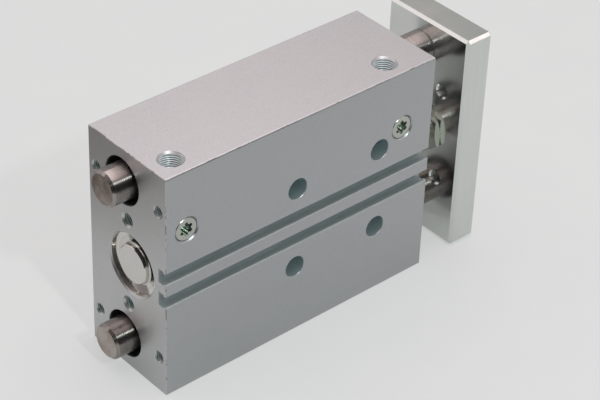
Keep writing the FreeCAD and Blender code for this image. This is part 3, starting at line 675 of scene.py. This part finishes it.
for material, nodes in (
        (upper_rod, ["upper_guide_rod"]),
        (lower_rod_painted_darker, ["lower_guide_rod"]),
        (rear_cap, ["rear_end_cap"]),
        (front_cap, ["front_bearing_cap"]),
        (piston_metal, ["rear_piston_half", "front_piston_half"]),
        (nut_metal, ["rod_lock_nut", "piston_nut"]),
        (plug_metal, ["rear_plug_screw", "front_plug_screw"]),
        (screw_metal, ["upper_guide_rod_screw", "lower_guide_rod_screw"]),
        (clip_metal, ["front_circlip"]),
        (bronze, ["rod_bush", "upper_rear_guide_bush", "upper_front_guide_bush",
                  "lower_rear_guide_bush", "lower_front_guide_bush"]),
        (nitrile, ["rear_cap_o_ring", "front_cap_o_ring", "piston_rod_o_ring"]),
        (urethane, ["rear_bumper", "front_bumper", "rod_seal", "rod_wiper", "upper_guide_wiper",
                    "lower_guide_wiper", "rear_piston_seal", "front_piston_seal"]),
        (ferrite, ["piston_magnet"]),
        (acetal, ["piston_wear_ring"]),
        (bored, ["housing"]),
        (plate_skin, ["yoke_plate"]),
        (chromed, ["piston_rod"])):
    for node in nodes:
        put_on(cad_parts[node], material)

# ---------------------------------------------------------------- floor and surroundings


def sheet(name, corners, material):
    """A flat stage piece through four corners in metres."""
    mesh = bpy.data.meshes.new(name)
    mesh.from_pydata(corners, [], [(0, 1, 2, 3)])
    mesh.materials.append(material)
    thing = in_scene(name, mesh)
    return thing


# Pale paper: its own shade is lifted for the rays that show it, so that the shadow stays faint
floor_paper, tree, shader, place = new_finish("pale_matte_paper", 0.9, 0.0)
dress(tree, shader, shades(tree, speckle(tree, place, 30.0), "#bdc2c2", "#c0c5c4"))
rays = add(tree, "LightPath").outputs
lift_for_glossy, lift_for_camera = 0.235, 0.5
lift = maths(tree, "MULTIPLY", rays["Is Glossy Ray"], lift_for_glossy)
lift = maths(tree, "MULTIPLY_ADD", rays["Is Camera Ray"], lift_for_camera, lift)
glow = add(tree, "Emission", {"Color": "#f2f2f2", "Strength": 1.0})
paper = add(tree, "MixShader", {0: lift, 1: shader.outputs[0], 2: glow.outputs[0]})
output = next(node for node in tree.nodes if node.type == "OUTPUT_MATERIAL")
fill(tree, output.inputs["Surface"], paper.outputs[0])
sheet("floor", [(-4, -4, 0), (4, -4, 0), (4, 4, 0), (-4, 4, 0)], floor_paper)

# The studio's walls: pale for the rays that show them, half as strong as a light
world = bpy.data.worlds.new("pale_studio")
bpy.context.scene.world = world
world.use_nodes = True
tree = world.node_tree
tree.nodes.clear()
rays = add(tree, "LightPath").outputs
shown = maths(tree, "MAXIMUM", rays["Is Camera Ray"], rays["Is Glossy Ray"])
shown = maths(tree, "MAXIMUM", shown, rays["Is Transmission Ray"])
dim = add(tree, "Background", {"Color": "#ffffff", "Strength": 0.5})
pale = add(tree, "Background", {"Color": "#ddd7d7", "Strength": 1.0})
mixed = add(tree, "MixShader", {0: shown, 1: dim.outputs[0], 2: pale.outputs[0]})
add(tree, "OutputWorld", {"Surface": mixed.outputs[0]})

# The unlit room on the camera's side, as a curved wall: bright metal shows it as dark bands
room_radius, room_height, columns = 0.38, 0.4, 25
turns = np.radians(np.linspace(155.0, 310.0, columns))
ring = np.stack([room_radius * np.cos(turns), room_radius * np.sin(turns)], axis=-1)
heights = np.array([0.0, room_height])[:, None, None].repeat(columns, axis=1)
corners = np.concatenate([ring[None].repeat(2, axis=0), heights], axis=-1).reshape(-1, 3)
low, high = np.arange(2 * columns).reshape(2, columns)
room_faces = np.stack([low[1:], low[:-1], high[:-1], high[1:]], axis=-1)
room = piece_from("dark_room", [(corners / MM, room_faces, np.zeros(len(corners)))])
put_on(room, grained("dark_cloth", 0.95, 0.0, 40.0, "#222325", "#2b2c2e"))

# The table beyond the paper, left of the picture, which the metal's end faces show
table = sheet("brown_table", [(-0.148, 0.040, 0.0005), (0.012, 0.273, 0.0005),
                              (-0.47, 0.60, 0.0005), (-0.63, 0.37, 0.0005)],
              grained("brown_wood", 0.6, 0.0, 12.0, "#6f6e6c", "#7b7a78", detail=3.0,
                      stretch=(1.0, 0.1, 1.0)))

# A grey card above and beyond the plate, which the plate's polished top end shows
card = sheet("grey_card", [(0.212, 0.07, 0.245), (0.212, 0.26, 0.245),
                           (0.32, 0.26, 0.245), (0.32, 0.07, 0.245)],
             grained("grey_paper", 0.9, 0.0, 30.0, "#e6e4e3", "#edebea"))

# Only metal shows these three: they are seen in no other way and cast no shadow
for unseen in (room, table, card):
    unseen.visible_camera = False
    unseen.visible_diffuse = False
    unseen.visible_shadow = False
    unseen.visible_transmission = False

# ---------------------------------------------------------------- lights and camera


def softbox(name, place, towards, size, watts, tint):
    """A soft lamp at a place in metres, turned towards another place; its length runs along X."""
    lamp = bpy.data.lights.new(name, "AREA")
    lamp.shape = "RECTANGLE"
    lamp.size, lamp.size_y = size
    lamp.energy = watts
    lamp.color = colour(tint)[:3]
    away = np.array(place, float) - np.array(towards, float)
    away /= np.linalg.norm(away)
    side = np.cross((0.0, 1.0, 0.0), away)
    side /= np.linalg.norm(side)
    turn = np.eye(4)
    turn[:3, :3] = np.stack([side, np.cross(away, side), away], axis=1)
    turn[:3, 3] = place
    in_scene(name, lamp).matrix_world = Matrix(turn.tolist())


softbox("soft_overhead", (0.1, 0.15, 1.3), (0.0, 0.0, 0.0), (1.8, 1.8), 11.6, "#ffebeb")
softbox("front_strip_lamp", (0.45, -0.66, 0.80), (0.45, 0.0, 0.05), (1.1, 0.05), 0.22, "#fff0ea")
softbox("small_side_lamp", (-0.17, -0.72, 0.74), (-0.07, 0.0, 0.05), (0.06, 0.06), 2.6, "#f4fffd")
softbox("small_back_lamp", (-0.70, 0.78, 0.80), (0.0, 0.0, 0.05), (0.3, 0.3), 0.16, "#fff4f2")

# The camera, solved from the block's corners in the photograph
camera_view = bpy.data.cameras.new("photograph_view")
camera_view.sensor_width = 36.0
camera_view.lens = 125.803
camera_view.clip_start, camera_view.clip_end = 0.05, 20.0
right = (0.754052, -0.655992, 0.032864)
down = (-0.363638, -0.458617, -0.810826)
forward = (0.546968, 0.599454, -0.584364)
stand = (-0.41469, -0.47429, 0.50078)
camera = in_scene("photograph_view", camera_view)
camera.matrix_world = Matrix([(right[i], -down[i], -forward[i], stand[i]) for i in range(3)]
                             + [(0, 0, 0, 1)])
bpy.context.scene.camera = camera
bpy.context.scene.view_settings.view_transform = "Standard"
